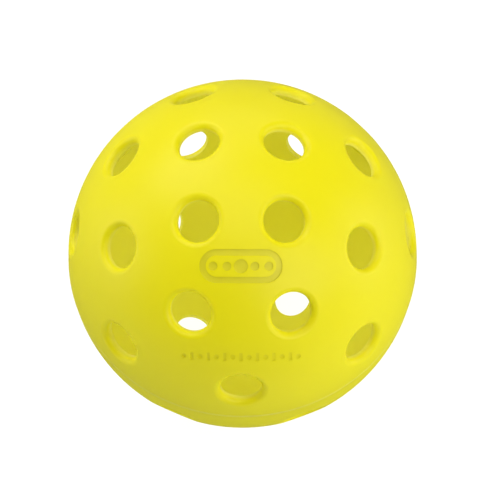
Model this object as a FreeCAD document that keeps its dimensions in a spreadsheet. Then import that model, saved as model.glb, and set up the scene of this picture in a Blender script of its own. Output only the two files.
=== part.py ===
import FreeCAD, Part
import math
import os

import Sketcher
from FreeCAD import Placement, Rotation, Vector

# An outdoor pickleball: a hollow moulded ball of two half shells welded together at the equator.
#
# Frame: the origin is the centre of the ball, +Z runs along the moulding axis towards the half that
# carries the marks, and the weld seam lies in the XY plane. Lengths are millimetres, angles degrees.
#
# Each half has twenty round vent holes in three rings about the Z axis: four near the pole, then eight
# and eight. The outer rim of every hole is rounded and its inner edge nearly sharp. The halves
# are located by a tongue and groove. The weld shows as a fine bead outside and a larger one inside.

# The driving dimensions: spreadsheet alias, value, meaning.
SIZES = [
    ("ball_radius", 37.0, "outside radius of the ball"),
    ("wall", 2.0, "thickness of the shell"),
    ("hole_radius", 4.25, "radius of a vent hole at its narrowest"),
    ("rim_round", 1.2, "round on a hole's outer edge"),
    ("lip_round", 0.12, "round on a hole's inner edge"),
    ("polar_angle", 19.8, "angle from the pole to the polar ring of holes"),
    ("polar_start", 45.0, "azimuth of the polar ring's first hole"),
    ("polar_count", 4, "holes in the polar ring"),
    ("middle_angle", 47.0, "angle from the pole to the middle ring of holes"),
    ("middle_start", 22.5, "azimuth of the middle ring's first hole"),
    ("middle_count", 8, "holes in the middle ring"),
    ("outer_angle", 73.9, "angle from the pole to the ring of holes beside the seam"),
    ("outer_start", 0.0, "azimuth of that ring's first hole"),
    ("outer_count", 8, "holes in the ring beside the seam"),
    ("lower_turn", 66.2, "how far the lower half is turned about Z where it is welded on"),
    ("seam_bevel", 0.35, "bevel on both edges of the wall at the seam"),
    ("tongue_width", 0.6, "thickness of the locating tongue"),
    ("tongue_depth", 1.0, "how far the tongue stands into the groove"),
    ("groove_gap", 0.05, "gap on each side of the tongue"),
    ("groove_floor", 0.2, "depth left under the tongue for the melt"),
    ("outer_crown", 0.1, "how far the outer bead stands proud of the ball"),
    ("inner_crown", 0.3, "how far the inner bead stands into the hollow"),
    ("mark_angle", 28.8, "angle from the pole to the direction both marks are engraved from"),
    ("badge_depth", 0.3, "depth of the large mark"),
    ("badge_length", 16.4, "length of the large mark"),
    ("badge_height", 6.7, "height of the large mark"),
    ("badge_stroke", 1.25, "width of the large mark's outline"),
    ("disc_radius", 1.4, "radius of the disc in the middle of the large mark"),
    ("dot_radius", 0.88, "radius of the dots beside the disc"),
    ("dot_pitch", 2.75, "distance from the disc to the first dot and on to the second"),
    ("row_depth", 0.25, "depth of the small marks"),
    ("row_drop", 18.5, "distance from the large mark down to the row of small marks"),
    ("row_pitch", 1.64, "distance between neighbouring small marks"),
    ("tick_width", 0.65, "width of a bar in the row"),
    ("tick_height", 1.7, "height of a bar in the row"),
    ("bead_radius", 0.5, "radius of a round mark in the row"),
]

RINGS = ("polar", "middle", "outer")
ROW_MARKS = 15  # small marks in the row, round ones and bars by turns
FULL_TURN = 360.0
SAME = 1e-3  # two lengths closer than this are equal
CLEAR = 1.5  # how far a cutting tool runs on past the surface it cuts

START, END, CENTRE = 1, 2, 3  # which point of a sketch's line or arc
X_AXIS, Y_AXIS = -1, -2  # a sketch's own axes; the start of its X axis is its origin
Z = Vector(0, 0, 1)


def value(name):
    """A driving dimension by its alias."""
    return float(doc.getObject("Sizes").get(name))


def make_sheet():
    """The spreadsheet every driving dimension is read from."""
    sheet = doc.addObject("Spreadsheet::Sheet", "Sizes")
    for row, (alias, number, meaning) in enumerate(SIZES, start=1):
        sheet.set(f"A{row}", meaning)
        sheet.set(f"B{row}", str(number))
        sheet.setAlias(f"B{row}", alias)
    doc.recompute()


def driven(sketch, constraint, expression):
    """Adds a dimension to a sketch and ties it to the spreadsheet."""
    index = sketch.addConstraint(constraint)
    sketch.setExpression(f"Constraints[{index}]", expression)


def join(sketch, corners):
    """Joins pairs of ends, each end given as (line or arc, which point of it)."""
    for (one, one_point), (other, other_point) in corners:
        sketch.addConstraint(Sketcher.Constraint("Coincident", one, one_point, other, other_point))


def across(sketch, index, point, expression):
    """Ties a point's distance to the right of the sketch's origin to the spreadsheet."""
    drawn = sketch.getPoint(index, point).x
    driven(sketch, Sketcher.Constraint("DistanceX", X_AXIS, START, index, point, drawn), expression)


def above(sketch, index, point, expression):
    """Ties a point's height over the sketch's origin to the spreadsheet."""
    drawn = sketch.getPoint(index, point).y
    driven(sketch, Sketcher.Constraint("DistanceY", X_AXIS, START, index, point, drawn), expression)


def below(sketch, index, point, expression):
    """Ties a point's depth under the sketch's origin to the spreadsheet."""
    drawn = -sketch.getPoint(index, point).y
    driven(sketch, Sketcher.Constraint("DistanceY", index, point, X_AXIS, START, drawn), expression)


def pin(sketch, index, point, axis):
    """Keeps a point on one of the sketch's own axes."""
    sketch.addConstraint(Sketcher.Constraint("PointOnObject", index, point, axis))


def round_arc(sketch, radius, expression):
    """Ties the last arc or circle drawn to the sketch's origin and its radius to the spreadsheet."""
    index = sketch.GeometryCount - 1
    sketch.addConstraint(Sketcher.Constraint("Coincident", index, CENTRE, X_AXIS, START))
    driven(sketch, Sketcher.Constraint("Radius", index, radius), expression)


def add_line(sketch, start, end):
    sketch.addGeometry(Part.LineSegment(Vector(*start), Vector(*end)), False)


def origin_feature(body, role):
    """One of a body's own origin planes or axes."""
    return next(feature for feature in body.Origin.OriginFeatures if feature.Role == role)


def body_sketch(body, name, role):
    """A sketch flat on one of a body's own origin planes."""
    sketch = body.newObject("Sketcher::SketchObject", name)
    sketch.AttachmentSupport = [(origin_feature(body, role), "")]
    sketch.MapMode = "FlatFace"
    return sketch


def shell_section(body, key_half, key_end):
    """Half the shell's section through the axis, with the tongue or the groove in its seam face.

    key_half is an expression for half the key's width. key_end is one for how far it goes from the
    seam face, with below for a tongue or above for a groove.
    """
    outside = value("ball_radius")
    inside = outside - value("wall")
    bevel = value("seam_bevel")
    middle = (outside + inside) / 2
    half = value("tongue_width") / 2
    place, depth = key_end
    key = -1.0 if place is below else 1.0
    low = math.asin(bevel / outside)

    sketch = body_sketch(body, body.Name + "Section", "XZ_Plane")
    outer_arc, axis, inner_arc, inner_bevel, inner_land = 0, 1, 2, 3, 4
    key_inside, key_face, key_outside, outer_land, outer_bevel = 5, 6, 7, 8, 9

    circle = Part.Circle(Vector(0, 0, 0), Z, outside)
    sketch.addGeometry(Part.ArcOfCircle(circle, low, math.pi / 2), False)
    round_arc(sketch, outside, "Sizes.ball_radius")
    add_line(sketch, (0, outside), (0, inside))
    circle = Part.Circle(Vector(0, 0, 0), Z, inside)
    sketch.addGeometry(Part.ArcOfCircle(circle, low, math.pi / 2), False)
    round_arc(sketch, inside, "Sizes.ball_radius - Sizes.wall")

    corners = [
        (inside, bevel),
        (inside + bevel, 0),
        (middle - half, 0),
        (middle - half, key),
        (middle + half, key),
        (middle + half, 0),
        (outside - bevel, 0),
        (outside, bevel),
    ]
    for start, end in zip(corners, corners[1:]):
        add_line(sketch, start, end)

    joints = [((axis, START), (outer_arc, END)), ((axis, END), (inner_arc, END))]
    joints += [((inner_arc, START), (inner_bevel, START)), ((outer_bevel, END), (outer_arc, START))]
    joints += [((line, END), (line + 1, START)) for line in range(inner_bevel, outer_bevel)]
    join(sketch, joints)

    for point in (START, END):
        pin(sketch, axis, point, Y_AXIS)
    for line in (inner_land, key_inside, outer_land, outer_bevel):
        pin(sketch, line, START, X_AXIS)
    for line in (key_inside, key_outside):
        sketch.addConstraint(Sketcher.Constraint("Vertical", line))
    sketch.addConstraint(Sketcher.Constraint("Horizontal", key_face))

    above(sketch, outer_arc, START, "Sizes.seam_bevel")
    above(sketch, inner_arc, START, "Sizes.seam_bevel")
    across(sketch, inner_land, START, "Sizes.ball_radius - Sizes.wall + Sizes.seam_bevel")
    across(sketch, key_inside, START, f"Sizes.ball_radius - Sizes.wall / 2 - ({key_half})")
    across(sketch, outer_land, START, f"Sizes.ball_radius - Sizes.wall / 2 + {key_half}")
    across(sketch, outer_bevel, START, "Sizes.ball_radius - Sizes.seam_bevel")
    place(sketch, key_face, START, depth)
    return sketch


def cut_ring(body, ring):
    """One vent hole cut straight out from the ball's centre, repeated round the axis."""
    before = body.Tip.Shape.Volume
    name = body.Name + ring.capitalize()
    sketch = body_sketch(body, name + "Circle", "XY_Plane")
    sketch.setExpression("AttachmentOffset.Rotation.Yaw", f"Sizes.{ring}_start")
    sketch.setExpression("AttachmentOffset.Rotation.Pitch", f"Sizes.{ring}_angle")
    sketch.addGeometry(Part.Circle(Vector(0, 0, 0), Z, value("hole_radius")), False)
    round_arc(sketch, value("hole_radius"), "Sizes.hole_radius")

    hole = body.newObject("PartDesign::Pocket", name + "Hole")
    hole.Profile = sketch
    hole.setExpression("Length", f"Sizes.ball_radius + {CLEAR}")
    hole.Reversed = True
    doc.recompute()

    pattern = body.newObject("PartDesign::PolarPattern", name + "Ring")
    pattern.Originals = [hole]
    pattern.Axis = (origin_feature(body, "Z_Axis"), [""])
    pattern.Angle = FULL_TURN
    pattern.setExpression("Occurrences", f"Sizes.{ring}_count")
    body.Tip = pattern
    doc.recompute()

    plug = math.pi * value("hole_radius") ** 2 * value("wall")
    removed = before - pattern.Shape.Volume
    expected = plug * value(f"{ring}_count")
    if abs(removed - expected) > 0.05 * expected:
        raise RuntimeError(f"{name} removed {removed:.1f} mm3 where {expected:.1f} was expected")


def round_edges(body, name, radius_from_centre, expression):
    """Rounds the edge of every vent hole at a given distance from the ball's centre."""
    base = body.Tip
    edges = []
    for number, edge in enumerate(base.Shape.Edges, start=1):
        if edge.Degenerated or not isinstance(edge.Curve, Part.Circle):
            continue
        is_rim = abs(edge.Curve.Radius - value("hole_radius")) < SAME
        if is_rim and abs(edge.Vertexes[0].Point.Length - radius_from_centre) < SAME:
            edges.append(f"Edge{number}")
    fillet = body.newObject("PartDesign::Fillet", body.Name + name)
    fillet.Base = (base, edges)
    fillet.setExpression("Radius", expression)
    body.Tip = fillet
    doc.recompute()


def make_half(name, key_half, key_end):
    """A half shell standing on its seam face, with its pole on +Z."""
    body = doc.addObject("PartDesign::Body", name)
    section = shell_section(body, key_half, key_end)
    doc.recompute()
    shell = body.newObject("PartDesign::Revolution", name + "Shell")
    shell.Profile = section
    shell.ReferenceAxis = (section, ["V_Axis"])
    shell.Angle = FULL_TURN
    body.Tip = shell
    doc.recompute()
    for ring in RINGS:
        cut_ring(body, ring)
    outside = value("ball_radius")
    round_edges(body, "Rims", outside, "Sizes.rim_round")
    round_edges(body, "Lips", outside - value("wall"), "Sizes.lip_round")
    return body


def add_arc(sketch, centre, radius, start_angle, end_angle):
    circle = Part.Circle(Vector(*centre), Z, radius)
    arc = Part.ArcOfCircle(circle, math.radians(start_angle), math.radians(end_angle))
    sketch.addGeometry(arc, False)


def draw_stadium(sketch, length, height, centre_expression, radius_expression):
    """A bar with round ends, centred on the sketch's origin."""
    radius = height / 2
    centre = length / 2 - radius
    top = sketch.GeometryCount
    right, bottom, left = top + 1, top + 2, top + 3
    add_line(sketch, (-centre, radius), (centre, radius))
    add_arc(sketch, (centre, 0), radius, -90, 90)
    add_line(sketch, (-centre, -radius), (centre, -radius))
    add_arc(sketch, (-centre, 0), radius, 90, 270)
    for line, line_end, arc, arc_end in (
        (top, END, right, END),
        (bottom, END, right, START),
        (top, START, left, START),
        (bottom, START, left, END),
    ):
        sketch.addConstraint(Sketcher.Constraint("Tangent", line, line_end, arc, arc_end))
    sketch.addConstraint(Sketcher.Constraint("Horizontal", top))
    for arc in (left, right):
        pin(sketch, arc, CENTRE, X_AXIS)
    across(sketch, right, CENTRE, centre_expression)
    driven(sketch, Sketcher.Constraint("DistanceX", left, CENTRE, X_AXIS, START, centre), centre_expression)
    driven(sketch, Sketcher.Constraint("Radius", right, radius), radius_expression)


def draw_badge(sketch):
    """A stadium outline round a disc with two dots on each side."""
    length, height, stroke = value("badge_length"), value("badge_height"), value("badge_stroke")
    centre = "(Sizes.badge_length - Sizes.badge_height) / 2"
    draw_stadium(sketch, length, height, centre, "Sizes.badge_height / 2")
    inner = "Sizes.badge_height / 2 - Sizes.badge_stroke"
    draw_stadium(sketch, length - 2 * stroke, height - 2 * stroke, centre, inner)
    sketch.addGeometry(Part.Circle(Vector(0, 0, 0), Z, value("disc_radius")), False)
    round_arc(sketch, value("disc_radius"), "Sizes.disc_radius")
    for step in (-2, -1, 1, 2):
        at = step * value("dot_pitch")
        sketch.addGeometry(Part.Circle(Vector(at, 0, 0), Z, value("dot_radius")), False)
        dot = sketch.GeometryCount - 1
        pin(sketch, dot, CENTRE, X_AXIS)
        across(sketch, dot, CENTRE, f"{step} * Sizes.dot_pitch")
        driven(sketch, Sketcher.Constraint("Radius", dot, value("dot_radius")), "Sizes.dot_radius")


def draw_bar(sketch, step):
    """One upright bar of the row, a number of steps to the right of its middle."""
    width, height, drop = value("tick_width"), value("tick_height"), value("row_drop")
    low, high = -drop - height / 2, -drop + height / 2
    left = step * value("row_pitch") - width / 2
    right = left + width
    base = sketch.GeometryCount
    corners = [(left, low), (right, low), (right, high), (left, high)]
    for start, end in zip(corners, corners[1:] + corners[:1]):
        add_line(sketch, start, end)
    join(sketch, [((base + side, END), (base + (side + 1) % 4, START)) for side in range(4)])
    for side in range(4):
        direction = "Vertical" if side % 2 else "Horizontal"
        sketch.addConstraint(Sketcher.Constraint(direction, base + side))
    across(sketch, base, START, f"{step} * Sizes.row_pitch - Sizes.tick_width / 2")
    across(sketch, base, END, f"{step} * Sizes.row_pitch + Sizes.tick_width / 2")
    below(sketch, base, START, "Sizes.row_drop + Sizes.tick_height / 2")
    below(sketch, base + 2, START, "Sizes.row_drop - Sizes.tick_height / 2")


def draw_round_mark(sketch, step):
    """One round mark of the row, a number of steps to the right of its middle."""
    centre = Vector(step * value("row_pitch"), -value("row_drop"), 0)
    sketch.addGeometry(Part.Circle(centre, Z, value("bead_radius")), False)
    circle = sketch.GeometryCount - 1
    across(sketch, circle, CENTRE, f"{step} * Sizes.row_pitch")
    below(sketch, circle, CENTRE, "Sizes.row_drop")
    driven(sketch, Sketcher.Constraint("Radius", circle, value("bead_radius")), "Sizes.bead_radius")


def draw_row(sketch):
    """A straight row of round marks and short upright bars by turns, below the sketch's origin."""
    middle = ROW_MARKS // 2
    for mark in range(ROW_MARKS):
        draw = draw_bar if mark % 2 else draw_round_mark
        draw(sketch, mark - middle)


def engrave(target, name, draw, depth):
    """Sinks a flat drawing into the ball's surface to an even depth."""
    sketch = doc.addObject("Sketcher::SketchObject", name + "Outline")
    sketch.Placement = Placement(Vector(0, 0, 0), Rotation(Vector(1, 0, 0), value("mark_angle")))
    sketch.setExpression("Placement.Rotation.Angle", "Sizes.mark_angle")
    draw(sketch)

    prism = doc.addObject("Part::Extrusion", name + "Prism")
    prism.Base = sketch
    prism.DirMode = "Normal"
    prism.FaceMakerClass = "Part::FaceMakerBullseye"
    prism.Solid = True
    prism.setExpression("LengthFwd", f"Sizes.ball_radius + {CLEAR}")

    core = doc.addObject("Part::Sphere", name + "Core")
    core.setExpression("Radius", f"Sizes.ball_radius - Sizes.{depth}")

    tool = doc.addObject("Part::Cut", name + "Tool")
    tool.Base = prism
    tool.Tool = core

    marked = doc.addObject("Part::Cut", name + "Engraved")
    marked.Base = target
    marked.Tool = tool
    doc.recompute()
    if not 0 < target.Shape.Volume - marked.Shape.Volume < value("wall") ** 2 * value("badge_length"):
        raise RuntimeError(f"{name} did not sink into the shell as a shallow mark")
    return marked


def draw_bead(sketch, wall_radius, root, crown, radius_expression, root_expression, crown_expression):
    """A weld bead's section: a wedge filling the two bevels, with a bulging crown.

    The wedge's point is at the root, its two corners lie on the shell's own surface.
    """
    bevel = value("seam_bevel")
    rim = math.sqrt(wall_radius**2 - bevel**2)
    outward = crown > root
    peak, low, high = Vector(crown, 0, 0), Vector(rim, -bevel, 0), Vector(rim, bevel, 0)

    upper = sketch.GeometryCount
    face, lower, guide, tip = upper + 1, upper + 2, upper + 3, upper + 4
    add_line(sketch, (root, 0), (rim, bevel))
    sketch.addGeometry(Part.Arc(low, peak, high) if outward else Part.Arc(high, peak, low), False)
    add_line(sketch, (rim, -bevel), (root, 0))
    circle = Part.Circle(Vector(0, 0, 0), Z, wall_radius)
    sketch.addGeometry(Part.ArcOfCircle(circle, -0.1, 0.1), True)
    round_arc(sketch, wall_radius, radius_expression)
    sketch.addGeometry(Part.Point(peak), True)

    face_top, face_bottom = (END, START) if outward else (START, END)
    join(sketch, [((upper, END), (face, face_top)), ((face, face_bottom), (lower, START))])
    join(sketch, [((lower, END), (upper, START))])
    join(sketch, [((guide, START), (lower, START)), ((guide, END), (upper, END))])
    pin(sketch, upper, START, X_AXIS)
    pin(sketch, tip, START, X_AXIS)
    sketch.addConstraint(Sketcher.Constraint("PointOnObject", tip, START, face))
    above(sketch, upper, END, "Sizes.seam_bevel")
    below(sketch, lower, START, "Sizes.seam_bevel")
    across(sketch, upper, START, root_expression)
    across(sketch, tip, START, crown_expression)


def make_weld():
    """The melt squeezed out of the seam: a fine bead outside and a larger one inside."""
    outside = value("ball_radius")
    inside = outside - value("wall")
    bevel = value("seam_bevel")
    sketch = doc.addObject("Sketcher::SketchObject", "WeldSection")
    sketch.Placement = Placement(Vector(0, 0, 0), Rotation(Vector(1, 0, 0), 90))
    radius = "Sizes.ball_radius"
    root = f"{radius} - Sizes.seam_bevel"
    crown = f"{radius} + Sizes.outer_crown"
    draw_bead(sketch, outside, outside - bevel, outside + value("outer_crown"), radius, root, crown)
    radius = "Sizes.ball_radius - Sizes.wall"
    root = f"{radius} + Sizes.seam_bevel"
    crown = f"{radius} - Sizes.inner_crown"
    draw_bead(sketch, inside, inside + bevel, inside - value("inner_crown"), radius, root, crown)

    weld = doc.addObject("Part::Revolution", "SeamWeld")
    weld.Source = sketch
    weld.Axis = Z
    weld.Base = Vector(0, 0, 0)
    weld.Angle = FULL_TURN
    weld.Solid = True
    doc.recompute()
    return weld


def check_and_export(nodes):
    """Refuses any fault in the document, then writes each sub-part to its own STEP file."""
    doc.recompute()
    for item in doc.Objects:
        if "Invalid" in item.State or "Error" in item.State:
            raise RuntimeError(f"{item.Name} is {item.State}")
        if item.TypeId == "Sketcher::SketchObject" and not item.FullyConstrained:
            raise RuntimeError(f"{item.Name} isn't fully constrained")
    os.makedirs("parts", exist_ok=True)
    for label, item in nodes.items():
        if item.Shape.isNull() or not item.Shape.isValid():
            raise RuntimeError(f"{label} has no valid shape")
        item.Label = label
        item.Shape.exportStep(f"parts/{label}.step")
        volume = sum(solid.Volume for solid in item.Shape.Solids)
        print(f"{label}: {len(item.Shape.Solids)} solid(s), {volume:.1f} mm3")


doc = FreeCAD.newDocument("Pickleball")
make_sheet()

tongue = (below, "Sizes.tongue_depth")
groove = (above, "Sizes.tongue_depth + Sizes.groove_floor")
upper_half = make_half("UpperHalf", "Sizes.tongue_width / 2", tongue)
lower_half = make_half("LowerHalf", "(Sizes.tongue_width / 2 + Sizes.groove_gap)", groove)
turned_over = "create(<<rotation>>; Sizes.lower_turn; 0; 180)"
lower_half.setExpression("Placement", f"create(<<placement>>; create(<<vector>>; 0; 0; 0); {turned_over})")

badged = engrave(upper_half, "Badge", draw_badge, "badge_depth")
marked_half = engrave(badged, "Row", draw_row, "row_depth")
weld = make_weld()

check_and_export(
    {
        "marked_half_shell": marked_half,
        "plain_half_shell": lower_half,
        "seam_weld": weld,
    }
)
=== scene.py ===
import math

import bpy
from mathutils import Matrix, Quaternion, Vector


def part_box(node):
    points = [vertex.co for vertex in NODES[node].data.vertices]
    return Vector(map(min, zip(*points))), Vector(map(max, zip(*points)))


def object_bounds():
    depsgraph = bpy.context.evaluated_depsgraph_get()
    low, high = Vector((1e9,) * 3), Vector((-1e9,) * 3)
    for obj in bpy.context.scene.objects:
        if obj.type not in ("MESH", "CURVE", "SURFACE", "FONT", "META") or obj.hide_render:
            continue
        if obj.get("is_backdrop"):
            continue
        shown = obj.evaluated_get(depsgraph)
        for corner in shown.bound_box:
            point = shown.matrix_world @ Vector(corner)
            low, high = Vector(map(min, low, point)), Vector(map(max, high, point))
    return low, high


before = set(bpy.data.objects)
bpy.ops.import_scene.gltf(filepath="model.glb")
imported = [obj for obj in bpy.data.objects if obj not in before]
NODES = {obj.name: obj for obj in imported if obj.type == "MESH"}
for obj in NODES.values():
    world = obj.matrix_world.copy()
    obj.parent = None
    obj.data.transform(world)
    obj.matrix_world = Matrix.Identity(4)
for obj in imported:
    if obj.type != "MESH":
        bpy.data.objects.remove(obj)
cad_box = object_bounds()
mm = 0.001

# ---------------------------------------------------------------- the object, as the frame has it
BALL_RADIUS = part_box("marked_half_shell")[1].z
FLOOR_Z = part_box("plain_half_shell")[0].z

# The depths between which the colour turns to the paler, painted-light colour of the hollow's side.
INNER_START, INNER_FULL = BALL_RADIUS - 0.9 * mm, BALL_RADIUS - 1.9 * mm

# The two engraved marks, in a frame turned about X so that its Z axis is the way they were engraved.
MARK_TURN = math.radians(28.8)
MARK_SHALLOW, MARK_DEEP = 0.05 * mm, 0.15 * mm  # depths at which a mark's floor starts, and is reached
BADGE = {"across": 9.2 * mm, "up": 3.6 * mm, "height": 0.0, "weight": 1.0}  # half sizes, and place
ROW = {"across": 12.6 * mm, "up": 1.4 * mm, "height": -18.5 * mm, "weight": 0.45}

# ---------------------------------------------------------------- the plastic
CLOUD_SCALE, FLECK_SCALE = 55.0, 900.0  # noises that vary its colour, a wide one and a fine one
CLOUD_SHARE, FLECK_SHARE = 0.8, 0.2
DEEP_BELOW, LIGHT_ABOVE = 0.3, 0.7  # the noise at which the colour is all deep, and all light
SATIN_SCALE = 160.0  # the noise that varies its roughness
PEEL_SCALE, PEEL_HEIGHT = 260.0, 0.03 * mm  # the slow waves a moulded surface has
GRAIN_SCALE, GRAIN_HEIGHT = 2600.0, 0.006 * mm  # the fine grain of the mould
REFRACTION = 1.5
SPECULAR = 0.34
SUBSURFACE = 0.25
SUBSURFACE_DEPTH = 1.2 * mm
SUBSURFACE_SPREAD = (1.0, 0.9, 0.15)
GLOW = 0.2  # the share of the light on a surface that passes to its other side

# ---------------------------------------------------------------- camera and studio
VIEW_AZIMUTH = math.radians(1.18)
VIEW_ELEVATION = math.radians(65.07)
VIEW_ROLL = math.radians(-0.91)
VIEW_DISTANCE = 13.0 * BALL_RADIUS
LENS = 162.6  # millimetres, as the sensor
SENSOR = 36.0
CLIP = (0.01, 100.0)  # metres
SHIFT = (0.01488, 0.00716)  # as a share of the picture's width

PALE = (1.0, 1.0, 1.0, 1.0)
WARM = (1.0, 0.915, 0.85)
SOFTBOX_DISTANCE = 10 * BALL_RADIUS
SOFTBOX_SIZE = 7 * BALL_RADIUS
SOFTBOXES = {  # name: (direction it shines from, how bright a white face turned to it is)
    "right": ((0.985, 0.0, 0.174), 0.31),
    "left": ((-0.985, 0.0, 0.174), 0.29),
    "back": ((0.0, 0.866, 0.5), 0.2),
    "back_left": ((-0.5, 0.5, 0.707), 0.49),
    "front_right": ((0.55, -0.55, 0.63), 0.5),
    "top": ((0.0, 0.0, 1.0), 0.31),
}
FLOOR_SIZE = 120 * BALL_RADIUS
FLOOR_TONES = (0.18, 0.22)  # how much light its surface scatters, lightly clouded
FLOOR_CLOUD_SCALE = 3.0
FLOOR_GLOW = 0.93  # what the camera sees
FLOOR_LIGHT = 0.87  # what the floor gives the ball, but not its reflections


def node_tree(name):
    """A new material with an empty node tree and its output."""
    material = bpy.data.materials.new(name)
    material.use_nodes = True
    tree = material.node_tree
    tree.nodes.clear()
    return material, tree, tree.nodes.new("ShaderNodeOutputMaterial")


def add(tree, kind, inputs=None, **settings):
    """A node with its settings and input values; an input given as a socket is linked."""
    node = tree.nodes.new(kind)
    for name, setting in settings.items():
        setattr(node, name, setting)
    for name, source in (inputs or {}).items():
        socket = node.inputs[name]
        if isinstance(source, bpy.types.NodeSocket):
            tree.links.new(source, socket)
        else:
            socket.default_value = source
    return node


def noise_factor(tree, where, scale, detail=3.0):
    """A smooth noise of 0 to 1."""
    inputs = {"Vector": where, "Scale": scale, "Detail": detail}
    return add(tree, "ShaderNodeTexNoise", inputs).outputs["Fac"]


def ramp(tree, factor, low, high):
    """A colour ramp between two (position, colour) stops."""
    node = add(tree, "ShaderNodeValToRGB", {"Fac": factor})
    elements = node.color_ramp.elements
    elements[0].position, elements[0].color = low
    elements[1].position, elements[1].color = high
    return node.outputs["Color"]


def spread(tree, factor, low, high):
    """A factor of 0 to 1 spread between two values."""
    node = add(tree, "ShaderNodeMapRange", {"Value": factor, "To Min": low, "To Max": high})
    return node.outputs["Result"]


def bump(tree, height, distance, under=None):
    """A normal roughened by a height, on top of another normal if one is given."""
    inputs = {"Height": height, "Distance": distance, "Strength": 1.0}
    if under is not None:
        inputs["Normal"] = under
    return add(tree, "ShaderNodeBump", inputs).outputs["Normal"]


def times(tree, *factors):
    """The product of several factors."""
    product = factors[0]
    for factor in factors[1:]:
        inputs = {0: product, 1: factor}
        product = add(tree, "ShaderNodeMath", inputs, operation="MULTIPLY").outputs[0]
    return product


def within(tree, coordinate, middle, half):
    """1 where a coordinate is within half a width of the middle, else 0."""
    inputs = {0: coordinate, 1: middle, 2: half}
    return add(tree, "ShaderNodeMath", inputs, operation="COMPARE").outputs[0]


def mark_floors(tree, where):
    """1 on the floor of the large mark, less on those of the small marks, and 0 elsewhere."""
    out = add(tree, "ShaderNodeVectorMath", {0: where}, operation="LENGTH").outputs["Value"]
    limits = {"From Min": BALL_RADIUS - MARK_SHALLOW, "From Max": BALL_RADIUS - MARK_DEEP}
    sunk = add(tree, "ShaderNodeMapRange", {"Value": out, **limits}).outputs["Result"]
    turned = add(
        tree,
        "ShaderNodeVectorRotate",
        {"Vector": where, "Angle": -MARK_TURN},
        rotation_type="X_AXIS",
    ).outputs["Vector"]
    axes = add(tree, "ShaderNodeSeparateXYZ", {"Vector": turned})
    inputs = {0: axes.outputs["Z"], 1: 0.0}
    facing = add(tree, "ShaderNodeMath", inputs, operation="GREATER_THAN").outputs[0]
    floors = 0.0
    for mark in (BADGE, ROW):
        across = within(tree, axes.outputs["X"], 0.0, mark["across"])
        up = within(tree, axes.outputs["Y"], mark["height"], mark["up"])
        area = times(tree, across, up, facing, sunk, mark["weight"])
        floors = add(tree, "ShaderNodeMath", {0: area, 1: floors}, operation="ADD").outputs[0]
    return floors


def blend(tree, factor, first, second):
    """A colour from the first to the second."""
    inputs = {"Factor": factor, "A": first, "B": second}
    return add(tree, "ShaderNodeMix", inputs, data_type="RGBA").outputs["Result"]


def inner_side(tree, where):
    """0 on the ball's outer surface and 1 on the side that faces the hollow, which takes the painted
    light.
    """
    out = add(tree, "ShaderNodeVectorMath", {0: where}, operation="LENGTH").outputs["Value"]
    limits = {"From Min": INNER_START, "From Max": INNER_FULL}
    return add(tree, "ShaderNodeMapRange", {"Value": out, **limits}).outputs["Result"]


def plastic(name, light, deep, mark_floor_tone, hollow_painted_light, roughness_low, roughness_high):
    """Satin moulded polyethylene: slightly translucent, gently uneven, with a fine mould grain.

    Its colour runs between light and deep, is darker on the floors of the marks, and takes a paler
    colour
    on the side that faces the hollow: painted light that lightens the hollow.
    """
    material, tree, output = node_tree(name)
    where = add(tree, "ShaderNodeTexCoord").outputs["Object"]

    cloud = noise_factor(tree, where, CLOUD_SCALE, detail=2.0)
    fleck = noise_factor(tree, where, FLECK_SCALE, detail=2.0)
    inputs = {0: fleck, 1: FLECK_SHARE, 2: times(tree, cloud, CLOUD_SHARE)}
    mix = add(tree, "ShaderNodeMath", inputs, operation="MULTIPLY_ADD").outputs[0]
    colour = ramp(tree, mix, (DEEP_BELOW, deep), (LIGHT_ABOVE, light))
    # The floors of the engraved marks take a darker colour.
    colour = blend(tree, mark_floors(tree, where), colour, mark_floor_tone)
    # Painted light: the side that faces the hollow takes a paler colour, which lightens the hollow in
    # place of light reaching it.
    colour = blend(tree, inner_side(tree, where), colour, hollow_painted_light)

    satin = noise_factor(tree, where, SATIN_SCALE, detail=4.0)
    rough = spread(tree, satin, roughness_low, roughness_high)

    peel = noise_factor(tree, where, PEEL_SCALE, detail=1.0)
    grain = noise_factor(tree, where, GRAIN_SCALE, detail=2.0)
    normal = bump(tree, peel, PEEL_HEIGHT)
    normal = bump(tree, grain, GRAIN_HEIGHT, under=normal)

    shader = add(
        tree,
        "ShaderNodeBsdfPrincipled",
        {
            "Base Color": colour,
            "Roughness": rough,
            "Normal": normal,
            "IOR": REFRACTION,
            "Specular IOR Level": SPECULAR,
            "Subsurface Weight": SUBSURFACE,
            "Subsurface Radius": SUBSURFACE_SPREAD,
            "Subsurface Scale": SUBSURFACE_DEPTH,
        },
    ).outputs["BSDF"]
    through = add(tree, "ShaderNodeBsdfTranslucent", {"Color": colour, "Normal": normal}).outputs["BSDF"]
    surface = add(tree, "ShaderNodeMixShader", {"Fac": GLOW, 1: shader, 2: through})
    tree.links.new(surface.outputs["Shader"], output.inputs["Surface"])
    return material


def dress(node, material):
    """Gives a CAD node its material."""
    mesh = NODES[node].data
    mesh.materials.clear()
    mesh.materials.append(material)


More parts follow.
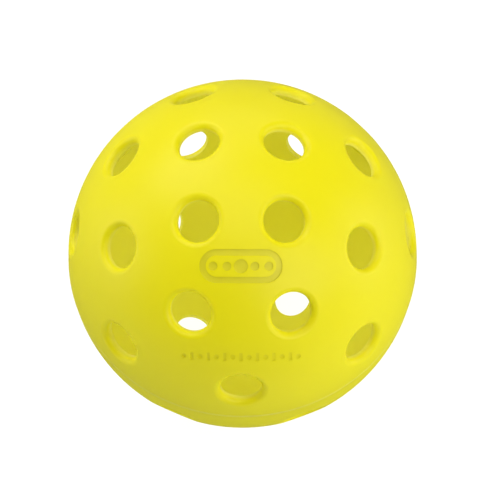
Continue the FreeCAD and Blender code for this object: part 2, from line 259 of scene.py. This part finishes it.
def make_floor():
    """A pale self-lit floor, so that the holes that go right through the ball look pale too."""
    material, tree, output = node_tree("pale_floor")
    where = add(tree, "ShaderNodeTexCoord").outputs["Object"]
    tone = spread(tree, noise_factor(tree, where, FLOOR_CLOUD_SCALE), *FLOOR_TONES)
    matt = add(tree, "ShaderNodeBsdfDiffuse", {"Color": tone}).outputs["BSDF"]
    path = add(tree, "ShaderNodeLightPath").outputs
    lit = spread(tree, path["Is Glossy Ray"], FLOOR_LIGHT, 0.0)
    strength = spread(tree, path["Is Camera Ray"], lit, FLOOR_GLOW)
    glow = add(tree, "ShaderNodeEmission", {"Color": PALE, "Strength": strength}).outputs["Emission"]
    surface = add(tree, "ShaderNodeAddShader", {0: matt, 1: glow})
    tree.links.new(surface.outputs["Shader"], output.inputs["Surface"])

    mesh = bpy.data.meshes.new("floor")
    size = FLOOR_SIZE / 2
    corners = [(-size, -size, 0), (size, -size, 0), (size, size, 0), (-size, size, 0)]
    mesh.from_pydata(corners, [], [(0, 1, 2, 3)])
    mesh.materials.append(material)
    floor = bpy.data.objects.new("floor", mesh)
    floor.location.z = FLOOR_Z
    bpy.context.scene.collection.objects.link(floor)
    floor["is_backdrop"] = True


def softbox(name, direction, brightness):
    """A square area light facing the ball, which makes a white face turned to it about that bright."""
    light = bpy.data.lights.new(name, "AREA")
    light.shape = "SQUARE"
    light.size = SOFTBOX_SIZE
    light.energy = brightness * (math.pi * SOFTBOX_DISTANCE) ** 2
    light.color = WARM
    lamp = bpy.data.objects.new(name, light)
    lamp.location = Vector(direction).normalized() * SOFTBOX_DISTANCE
    lamp.rotation_euler = (-lamp.location).to_track_quat("-Z", "Y").to_euler()
    bpy.context.scene.collection.objects.link(lamp)


def light_studio():
    """The softboxes, and a white room that the camera sees but that lights nothing."""
    world = bpy.data.worlds.new("studio")
    world.use_nodes = True
    tree = world.node_tree
    background = tree.nodes["Background"]
    background.inputs["Color"].default_value = PALE
    seen = add(tree, "ShaderNodeLightPath").outputs["Is Camera Ray"]
    tree.links.new(seen, background.inputs["Strength"])
    bpy.context.scene.world = world
    for name, (direction, brightness) in SOFTBOXES.items():
        softbox(name, direction, brightness)


def aim_camera():
    """A long lens, rolled a little, with a small shift that frames the ball off centre."""
    flat = math.cos(VIEW_ELEVATION)
    direction = Vector(
        (
            flat * math.sin(VIEW_AZIMUTH),
            -flat * math.cos(VIEW_AZIMUTH),
            math.sin(VIEW_ELEVATION),
        )
    )
    camera = bpy.data.objects.new("camera", bpy.data.cameras.new("camera"))
    camera.location = direction * VIEW_DISTANCE
    level = (-direction).to_track_quat("-Z", "Y")
    camera.rotation_euler = (level @ Quaternion((0, 0, 1), VIEW_ROLL)).to_euler()
    camera.data.lens = LENS
    camera.data.sensor_width = SENSOR
    camera.data.shift_x, camera.data.shift_y = SHIFT
    camera.data.clip_start, camera.data.clip_end = CLIP
    bpy.context.scene.collection.objects.link(camera)
    bpy.context.scene.camera = camera


bpy.context.scene.view_settings.view_transform = "Standard"
bpy.context.scene.cycles.diffuse_bounces = 16  # light goes round the hollow many times
bpy.context.scene.cycles.max_bounces = 24

shell = plastic(
    "shell_polyethylene",
    light=(0.965, 0.945, 0.012, 1.0),
    deep=(0.945, 0.92, 0.01, 1.0),
    mark_floor_tone=(0.83, 0.82, 0.04, 1.0),
    hollow_painted_light=(0.97, 0.968, 0.23, 1.0),
    roughness_low=0.34,
    roughness_high=0.44,
)
# The bead is real, but its paler, whiter colour is a painted highlight that makes the seam read as a
# thin light line.
weld = plastic(
    "weld_polyethylene",
    light=(0.97, 0.97, 0.14, 1.0),
    deep=(0.96, 0.955, 0.1, 1.0),
    mark_floor_tone=(0.96, 0.955, 0.1, 1.0),
    hollow_painted_light=(0.97, 0.968, 0.23, 1.0),
    roughness_low=0.3,
    roughness_high=0.4,
)
dress("marked_half_shell", shell)
dress("plain_half_shell", shell)
dress("seam_weld", weld)

make_floor()
light_studio()
aim_camera()

sizes = {"cad": cad_box, "visual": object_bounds()}
sizes = {name: [list(corner) for corner in corners] for name, corners in sizes.items()}
